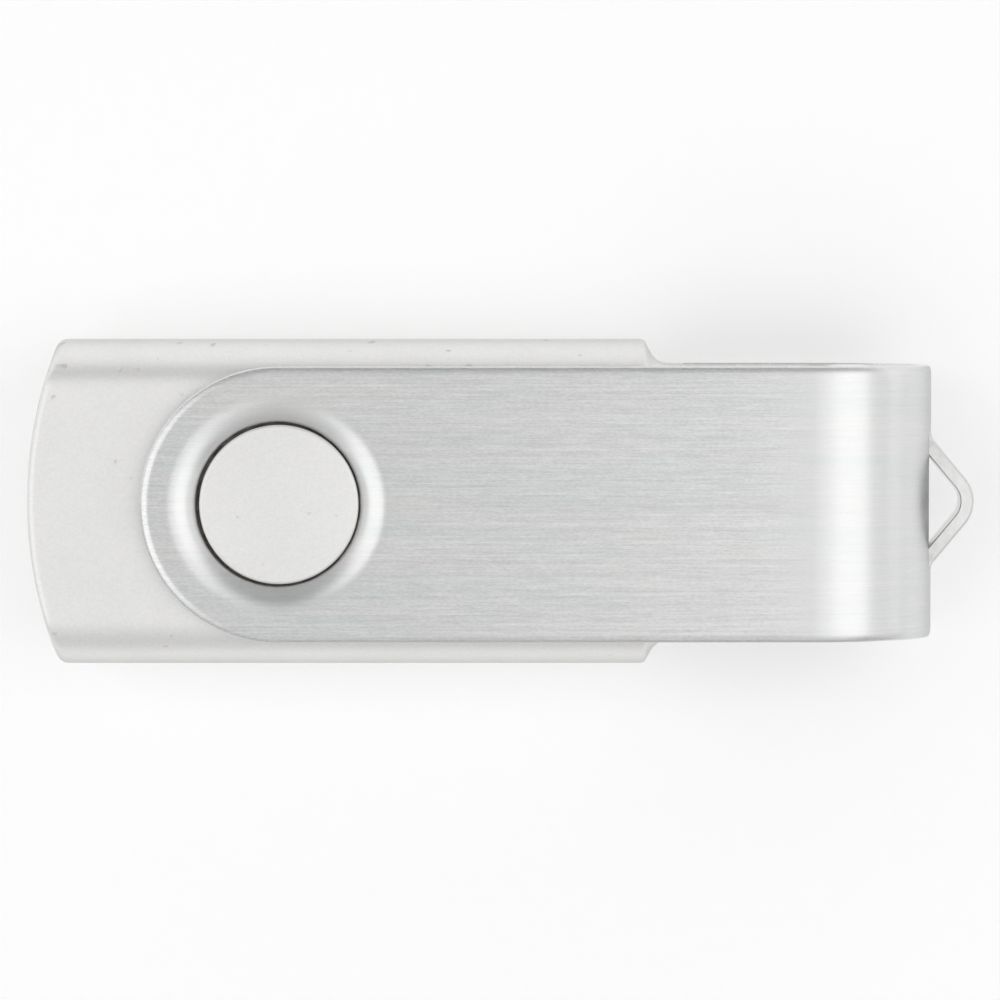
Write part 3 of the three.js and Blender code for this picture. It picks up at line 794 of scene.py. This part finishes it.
def make_plug_shell():
    """The tube with its four windows, its seam, and an arm with a solder leg on each side."""
    arm_overlap = 0.3
    steps = []
    for side in (-1, 1):
        steps.append(("DIFFERENCE", window(side * WINDOW_Y)))
        near, far = sorted((side * (PLUG_HALF - PLUG_SHEET), side * PLUG_HALF))
        rear = PLUG_LOW.x
        steps.append(("UNION", box((rear, near, ARM_LOW), (PLUG_REAR + arm_overlap, far, ARM_HIGH))))
        steps.append(("UNION", box((rear, near, PLUG_LOW.z), (rear + LEG_WIDTH, far, ARM_HIGH))))
    half = SEAM_WIDTH / 2
    seam = box((PLUG_REAR - 1, -half, -PLUG_TOP - 1), (PLUG_TIP + 1, half, -PLUG_TOP + SEAM_DEPTH))
    steps.append(("DIFFERENCE", seam))
    return new_object("plug_shell_sheet", combined(plug_tube(), *steps))


# ---- Materials ----

NOISE_SPAN = (0.25, 0.75)  # where nearly all of a noise's values lie


class Finish:
    """A material with one Principled shader, and short ways to make the nodes that feed it. A source is a
    socket or a plain value."""

    def __init__(self, name, metallic=0, grazing=1):
        self.material = bpy.data.materials.new(name)
        self.material.use_nodes = True
        self.tree = self.material.node_tree
        self.tree.nodes.clear()
        self.shader = self.node("BsdfPrincipled")
        self.feed(self.node("OutputMaterial").inputs[0], self.shader.outputs[0])
        self.set("Metallic", metallic)
        self.set("Specular Tint", (grazing, grazing, grazing, 1))

    def node(self, kind, **settings):
        made = self.tree.nodes.new(f"ShaderNode{kind}")
        for name, value in settings.items():
            setattr(made, name, value)
        return made

    def feed(self, socket, source):
        if isinstance(source, bpy.types.NodeSocket):
            self.tree.links.new(source, socket)
        else:
            socket.default_value = source

    def set(self, name, source):
        """Feeds an input of the shader."""
        self.feed(self.shader.inputs[name], source)

    def outcome(self, node, *sources):
        """A node's outcome, once its inputs are fed in their order."""
        for socket, source in zip([s for s in node.inputs if s.enabled], sources):
            self.feed(socket, source)
        return next(s for s in node.outputs if s.enabled)

    def math(self, operation, *sources):
        return self.outcome(self.node("Math", operation=operation), *sources)

    def vector_math(self, operation, *sources):
        return self.outcome(self.node("VectorMath", operation=operation), *sources)

    def mapped(self, source, source_range, values):
        """A range of numbers mapped to a range of numbers or colours."""
        colors = isinstance(values[0], tuple)
        limits = [(limit,) * 3 if colors else limit for limit in source_range]
        node = self.node("MapRange", data_type="FLOAT_VECTOR" if colors else "FLOAT")
        return self.outcome(node, source, *limits, *values)

    def mixed(self, share, color, other):
        return self.outcome(self.node("Mix", data_type="RGBA"), share, color, other)

    def split(self, source):
        return self.outcome(self.node("SeparateXYZ"), source).node.outputs

    def level_distance(self, x, y):
        """How far a place is from the Z axis."""
        return self.vector_math("LENGTH", self.outcome(self.node("CombineXYZ"), x, y))

    def noise(self, place, scale, detail, seed=0.0, roughness=0.5):
        """Noise over a place, with one scale or its own along each axis."""
        mapping = self.node("Mapping")
        mapping.inputs["Scale"].default_value = scale if isinstance(scale, tuple) else (scale,) * 3
        mapping.inputs["Location"].default_value = (seed,) * 3
        noise = self.node("TexNoise")
        self.feed(noise.inputs["Vector"], self.outcome(mapping, place))
        for name, value in (("Scale", 1), ("Detail", detail), ("Roughness", roughness)):
            noise.inputs[name].default_value = value
        return noise.outputs["Fac"]

    def bump(self, source, strength, height_mm):
        node = self.node("Bump")
        node.inputs["Strength"].default_value = strength
        node.inputs["Distance"].default_value = height_mm * MM
        self.feed(node.inputs["Height"], source)
        self.set("Normal", node.outputs[0])


# The brushing's layers: noise scale across and along the blank, detail, seed and roughness, and how much the
# layer lightens and darkens the metal.
BRUSHING = {
    "lines": ((60, 0.2, 1), 4, 3.1, 0.75, 0.1),
    "strokes": ((110, 4.5, 1), 2, 7.7, 0.6, 0.085),
    "grain": ((140, 45, 1), 0, 5.3, 0.5, 0.06),
}
FORMED_BRUSHING = 0.3  # share of the brushing that is left where the sheet was formed
PATCH_SCALE = (9, 0.8, 1)
SCRATCH_SCALE = (60, 12, 1)
SCRATCH_COLOR = (0.88, 0.88, 0.87, 1)
DULLED_ZONE = (0.16, 0.55)  # distance from the slot's middle over which the dulling fades


def flat_share(finish, place, from_middle, middle):
    """How much of the brushing is left: less on the bend and in the dishes."""
    bend_start = middle - BEND_CENTRE / UV_UNIT
    on_flat = finish.mapped(from_middle, (bend_start, bend_start + 0.25), (FORMED_BRUSHING, 1))
    radius = finish.level_distance(finish.split(place)[0], finish.math("SUBTRACT", middle, from_middle))
    dish_edge = ((DISH_RADIUS - 0.9) / UV_UNIT, (DISH_RADIUS + 0.2) / UV_UNIT)
    return finish.math("MULTIPLY", on_flat, finish.mapped(radius, dish_edge, (FORMED_BRUSHING, 1)))


def brushed_aluminium():
    """Long brush lines, strokes and a short grain along the blank's length, fainter where the dishes and the
    bend were formed. There are a few bright scratches, and the sheet is dulled beside the slot."""
    finish = Finish("brushed_aluminium", metallic=1, grazing=0.75)
    finish.set("Anisotropic", 0.6)
    finish.set("Tangent", finish.node("Tangent", direction_type="UV_MAP", uv_map="blank").outputs[0])
    place = finish.node("UVMap", uv_map="blank").outputs[0]
    middle = BLANK_LENGTH / 2 / UV_UNIT
    from_middle = finish.math("ABSOLUTE", finish.math("SUBTRACT", finish.split(place)[1], middle))

    layers, tone = {}, 0
    for name, (scale, detail, seed, roughness, lightness) in BRUSHING.items():
        layers[name] = finish.noise(place, scale, detail, seed, roughness)
        tone = finish.math("ADD", tone, finish.mapped(layers[name], NOISE_SPAN, (-lightness, lightness)))
    tone = finish.math("MULTIPLY", tone, flat_share(finish, place, from_middle, middle))
    patches = finish.noise(place, PATCH_SCALE, detail=3, seed=11.7)
    tint = finish.mapped(patches, (0.3, 0.7), ((0.755, 0.77, 0.77), (0.80, 0.795, 0.79)))
    color = finish.vector_math("MULTIPLY", tint, finish.math("ADD", tone, 1.0))
    scratches = finish.mapped(finish.noise(place, SCRATCH_SCALE, detail=0, seed=27.0), (0.84, 0.9), (0, 1))
    finish.set("Base Color", finish.mixed(scratches, color, SCRATCH_COLOR))

    dulled = finish.mapped(from_middle, DULLED_ZONE, (0.3, 0))
    grain_rough = finish.mapped(layers["grain"], (0, 1), (0.27, 0.33))
    finish.set("Roughness", finish.math("ADD", grain_rough, dulled))
    finish.bump(layers["lines"], strength=0.12, height_mm=0.02)
    return finish.material


# The paint's noise scales, per metre, and its colours.
FLAKE_SCALE = 7000
PEEL_SCALE = 1500
SPECK_SCALE = 1300
CLOUD_SCALE = 250
FRESH_COLORS = ((0.86, 0.855, 0.845), (0.93, 0.925, 0.915))
SPECK_COLOR = (0.45, 0.40, 0.34, 1)
WORN_COLOR = (0.60, 0.54, 0.46, 1)
# Dark brown for dirt with painted shade in the gap round each boss's foot.
DIRT_AND_SHADE_COLOR = (0.22, 0.175, 0.14, 1)
WEAR_RADIUS = 0.35  # millimetres


def worn_edges(finish, clouds):
    """How worn the paint is: along edges, where a rounded normal leaves the true one, and in patches."""
    bevel = finish.node("Bevel", samples=4)
    bevel.inputs["Radius"].default_value = WEAR_RADIUS * MM
    normal = finish.node("NewGeometry").outputs["Normal"]
    facing = finish.vector_math("DOT_PRODUCT", bevel.outputs[0], normal)
    edge = finish.mapped(facing, (0.995, 0.93), (0, 1))
    return finish.math("MULTIPLY", edge, finish.mapped(clouds, (0.5, 0.65), (0.0, 0.4)))


def boss_dirt_and_shade(finish, place, peel):
    """How much dirt and painted shade darken the paint: only round each boss's foot, down in the gap where
    shade falls.
    """
    # Painted shade: the paint is darkened in the gap round the boss's foot, and dirtied there as well.
    x, y, z = finish.split(finish.vector_math("SUBTRACT", place, tuple(PIVOT)))
    reach = ((BOSS_RADIUS + 0.6) * MM, (BOSS_RADIUS + 0.2) * MM)
    near = finish.mapped(finish.level_distance(x, y), reach, (0, 1))
    depth = ((BOSS_TOP - 0.2) * MM, (BOSS_TOP - 0.4) * MM)
    low = finish.mapped(finish.math("ABSOLUTE", z), depth, (0, 1))
    uneven = finish.mapped(peel, (0.3, 0.6), (0.35, 0.75))
    return finish.math("MULTIPLY", finish.math("MULTIPLY", near, low), uneven)


def silver_paint():
    """Sprayed silver: flakes, a few dark specks, a little orange peel, brownish wear along the edges, and
    dirt with painted shade round each boss's foot, down in the gap."""
    finish = Finish("silver_paint", metallic=0.6, grazing=0.4)
    place = finish.node("TexCoord").outputs["Object"]
    flakes = finish.noise(place, FLAKE_SCALE, detail=2, seed=1.7)
    clouds = finish.noise(place, CLOUD_SCALE, detail=2, seed=8.9)
    peel = finish.noise(place, PEEL_SCALE, detail=1, seed=4.1)

    fresh = finish.mapped(flakes, NOISE_SPAN, FRESH_COLORS)
    color = finish.vector_math("MULTIPLY", fresh, finish.mapped(clouds, (0.3, 0.7), (0.985, 1.01)))
    specks = finish.mapped(finish.noise(place, SPECK_SCALE, detail=0, seed=6.3), (0.8, 0.84), (0, 0.4))
    # Dirt and painted shade in the gap round each boss's foot, which also roughen the paint there.
    dirt_and_shade = boss_dirt_and_shade(finish, place, peel)
    color = finish.mixed(specks, color, SPECK_COLOR)
    color = finish.mixed(worn_edges(finish, clouds), color, WORN_COLOR)
    finish.set("Base Color", finish.mixed(dirt_and_shade, color, DIRT_AND_SHADE_COLOR))

    rough = finish.mapped(flakes, (0, 1), (0.36, 0.44))
    finish.set("Roughness", finish.math("ADD", rough, finish.mapped(dirt_and_shade, (0, 1), (0, 0.3))))
    finish.bump(finish.math("ADD", flakes, peel), strength=0.3, height_mm=0.004)
    return finish.material


def speckled(name, color, roughness, metallic, spread=0.03, scale=9000, bump_mm=0.004, grazing=0.7):
    """A finish with a fine speckle in its colour, roughness and surface."""
    finish = Finish(name, metallic, grazing)
    speckle = finish.noise(finish.node("TexCoord").outputs["Object"], scale, detail=2)
    dark = (*[c * (1 - spread) for c in color], 1)
    light = (*[min(c * (1 + spread), 1) for c in color], 1)
    finish.set("Base Color", finish.mixed(speckle, dark, light))
    finish.set("Roughness", finish.mapped(speckle, (0, 1), (roughness * 0.85, roughness * 1.15)))
    finish.bump(speckle, 0.3, bump_mm)
    return finish.material


# ---- Insulator, contacts, board and what is on it ----

# By the start of the node's name: its slot, its two finishes, the size of its edge break, and the half size
# along X and Y of the part that has the first finish, or None where all of it has.
SMALL_PARTS = {
    "plug_insulator": ("plug_plastic", "white_plastic", "white_plastic", 0.06, None),
    "contact_": ("contact_gold", "gold_plate", "gold_plate", 0.05, None),
    "circuit_board": ("board_laminate", "solder_mask", "solder_mask", 0.03, None),
    "memory_chip": ("chip_mould", "epoxy_mould", "tinned_lead", 0.03, (9.2, 6)),
    "controller_chip": ("chip_mould", "epoxy_mould", "tinned_lead", 0.03, (3.5, 3.5)),
    "voltage_regulator": ("chip_mould", "epoxy_mould", "tinned_lead", 0.03, (0.65, 1.45)),
    "crystal": ("crystal_can", "nickel_can", "nickel_can", 0.08, None),
    "activity_led": ("led_lens", "led_resin", "led_resin", 0.05, None),
    "capacitor_": ("capacitor_ceramic", "brown_ceramic", "tinned_lead", 0.04, (0.44, 0.44)),
    "resistor_": ("resistor_body", "black_glaze", "tinned_lead", 0.04, (0.44, 0.44)),
}
FLAT_WITHIN = math.radians(1)
BROKEN_BEYOND = math.radians(28)  # sharper edges are broken


def small_part_mesh(name, edge_break, body_half):
    """A node's shape with its edges broken. Faces beyond body_half of its middle get the second finish."""
    node = frame["nodes"][name]
    bm = bmesh.new()
    bm.from_mesh(node.data)
    bm.transform(node.matrix_world)
    for v in bm.verts:
        v.co = (v.co - PIVOT) / MM
    bmesh.ops.remove_doubles(bm, verts=bm.verts, dist=BOOLEAN_MERGE)
    bmesh.ops.dissolve_limit(bm, angle_limit=FLAT_WITHIN, verts=bm.verts, edges=bm.edges)
    sharp = [e for e in bm.edges if len(e.link_faces) == 2 and e.calc_face_angle() > BROKEN_BEYOND]
    rounding = {"segments": 2, "profile": 0.5, "affect": "EDGES", "clamp_overlap": True}
    bmesh.ops.bevel(bm, geom=sharp, offset=edge_break, **rounding)
    if body_half:
        corners = node_box(name)
        middle = (corners[0] + corners[1]) / 2
        for face in bm.faces:
            off = face.calc_center_median() - middle
            face.material_index = int(abs(off.x) > body_half[0] or abs(off.y) > body_half[1])
    return bm


def make_small_part(name):
    key = next(k for k in SMALL_PARTS if name.startswith(k))
    slot, first, second, edge_break, body_half = SMALL_PARTS[key]
    made = new_object(f"{name}_shape", small_part_mesh(name, edge_break, body_half))
    for finish in (first, second):
        made.data.materials.append(finishes[finish])
    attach(made, "drive")
    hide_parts(name)


# ---- The object ----

finishes = {
    "white_plastic": speckled("white_plastic", (0.80, 0.80, 0.77), 0.45, 0),
    "gold_plate": speckled("gold_plate", (0.83, 0.62, 0.25), 0.25, 1),
    "solder_mask": speckled("solder_mask", (0.03, 0.16, 0.06), 0.35, 0, spread=0.2, scale=1500),
    "epoxy_mould": speckled("epoxy_mould", (0.03, 0.03, 0.033), 0.6, 0, spread=0.15),
    "tinned_lead": speckled("tinned_lead", (0.68, 0.68, 0.67), 0.3, 1),
    "nickel_can": speckled("nickel_can", (0.66, 0.65, 0.63), 0.25, 1),
    "led_resin": speckled("led_resin", (0.85, 0.83, 0.75), 0.15, 0),
    "brown_ceramic": speckled("brown_ceramic", (0.40, 0.28, 0.17), 0.45, 0, spread=0.08),
    "black_glaze": speckled("black_glaze", (0.03, 0.03, 0.035), 0.4, 0),
}
sheared_edge = speckled(
    "sheared_edge", (0.80, 0.80, 0.79), 0.26, 1, spread=0.1, scale=2500, bump_mm=0.01, grazing=1
)

cover = make_cover()
cover.data.materials.append(brushed_aluminium())
cover.data.materials.append(sheared_edge)
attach(cover, "cover")
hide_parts("swivel_cover")

silver = silver_paint()
for name, turned in (("upper", False), ("lower", True)):
    half = housing_half()
    shell = new_object(f"housing_{name}_shell", mirrored(half) if turned else half)
    shell.data.materials.append(silver)
    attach(shell, "drive")
    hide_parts(f"housing_{name}")

plug = make_plug_shell()
plug.data.materials.append(speckled("nickel_plate", (0.72, 0.71, 0.69), 0.22, 1))
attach(plug, "drive")
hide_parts("plug_shell")

for name in frame["nodes"]:
    if name not in ("swivel_cover", "housing_upper", "housing_lower", "plug_shell"):
        make_small_part(name)

# ---- Floor, light and camera, in metres ----

FLOOR_RADIUS = 1.4  # of its flat part
SWEEP_RADIUS = 0.5
FLOOR_WALL_TOP = 0.9
WORLD_STRENGTH = 0.38
SOFTBOX_DISTANCE = 1.1
CAMERA_AIM = Vector((0.000015, 0.00028, 0.011))  # on top of the drive
CAMERA_DISTANCE = 0.32
CAMERA_TILT = math.radians(2.65)  # from straight above, towards +Y
CAMERA_LENS, CAMERA_SENSOR = 199, 36  # millimetres

# Each softbox's span in degrees from straight up, towards +X and towards +Y, and its brightness.
SOFTBOXES = {
    "left_low_softbox": ((-66, -53), (-26, 24), 0.35),
    "left_softbox": ((-53, -16), (-26, 24), 0.92),
    "overhead_softbox": ((-16, 5), (-26, 24), 0.32),
    "right_high_softbox": ((4, 18), (-26, 24), 0.71),
    "right_softbox": ((18, 46), (-26, 24), 0.96),
    "right_low_softbox": ((46, 63), (-26, 24), 0.52),
    "right_lowest_softbox": ((63, 85), (-26, 24), 0.26),
    "near_softbox": ((-50, 30), (-56, -26), 0.29),
}


def floor_white():
    """Matt white that glows a little, less towards -Y and more towards +Y, so that the drive's two long sides
    have different floors to reflect."""
    finish = Finish("floor_white")
    finish.set("Base Color", (0.8, 0.8, 0.8, 1))
    finish.set("Roughness", 0.9)
    finish.set("Emission Color", (1, 1, 1, 1))
    y = finish.split(finish.node("TexCoord").outputs["Object"])[1]
    glow = finish.mapped(y, (-0.3, -0.05), (0.08, 0.32))
    more = finish.mapped(y, (0.05, 0.3), (0, 0.07))
    finish.set("Emission Strength", finish.math("ADD", glow, more))
    return finish.material


def make_floor():
    """A plain round floor that sweeps up into a low wall all round."""
    profile = [(0, 0), (FLOOR_RADIUS / 2, 0)]
    for a in arc(QUARTER, 12):
        profile.append((FLOOR_RADIUS + SWEEP_RADIUS * math.sin(a), drop(SWEEP_RADIUS, a)))
    profile.append((FLOOR_RADIUS + SWEEP_RADIUS, FLOOR_WALL_TOP))
    mesh = as_mesh("floor", revolved(profile))
    mesh.shade_smooth()
    floor = linked("floor", mesh)
    floor.data.materials.append(floor_white())


def make_world():
    """An even grey studio."""
    world = bpy.data.worlds.new("studio")
    world.use_nodes = True
    background = world.node_tree.nodes["Background"]
    background.inputs["Color"].default_value = (1, 1, 1, 1)
    background.inputs["Strength"].default_value = WORLD_STRENGTH
    bpy.context.scene.world = world


def softbox(name, across, along, radiance):
    """A rectangular light facing the drive, whose local X stays level."""
    halves = [math.radians(end - start) / 2 for start, end in (across, along)]
    size = [2 * SOFTBOX_DISTANCE * math.tan(half) for half in halves]
    data = bpy.data.lights.new(name, "AREA")
    data.shape = "RECTANGLE"
    data.size, data.size_y = size
    data.energy = radiance * math.pi * size[0] * size[1]
    light = linked(name, data)
    slopes = [math.tan(math.radians(start + end) / 2) for start, end in (across, along)]
    z_axis = Vector((*slopes, 1)).normalized()
    y_axis = z_axis.cross((1, 0, 0)).normalized()
    x_axis = y_axis.cross(z_axis)
    light.location = z_axis * SOFTBOX_DISTANCE
    light.rotation_euler = Matrix((x_axis, y_axis, z_axis)).transposed().to_euler()


def make_camera():
    """Looks down on the drive from just past straight above, a little to its +Y side."""
    data = bpy.data.cameras.new("camera")
    data.lens = CAMERA_LENS
    data.sensor_width = CAMERA_SENSOR
    data.clip_start, data.clip_end = 0.01, 20
    camera = linked("camera", data)
    towards = Vector((0, math.sin(CAMERA_TILT), math.cos(CAMERA_TILT)))
    camera.location = CAMERA_AIM + towards * CAMERA_DISTANCE
    camera.rotation_euler = (-CAMERA_TILT, 0, 0)
    bpy.context.scene.camera = camera


make_floor()
make_world()
for name, (across, along, radiance) in SOFTBOXES.items():
    softbox(name, across, along, radiance)
make_camera()
bpy.context.scene.view_settings.view_transform = "Standard"
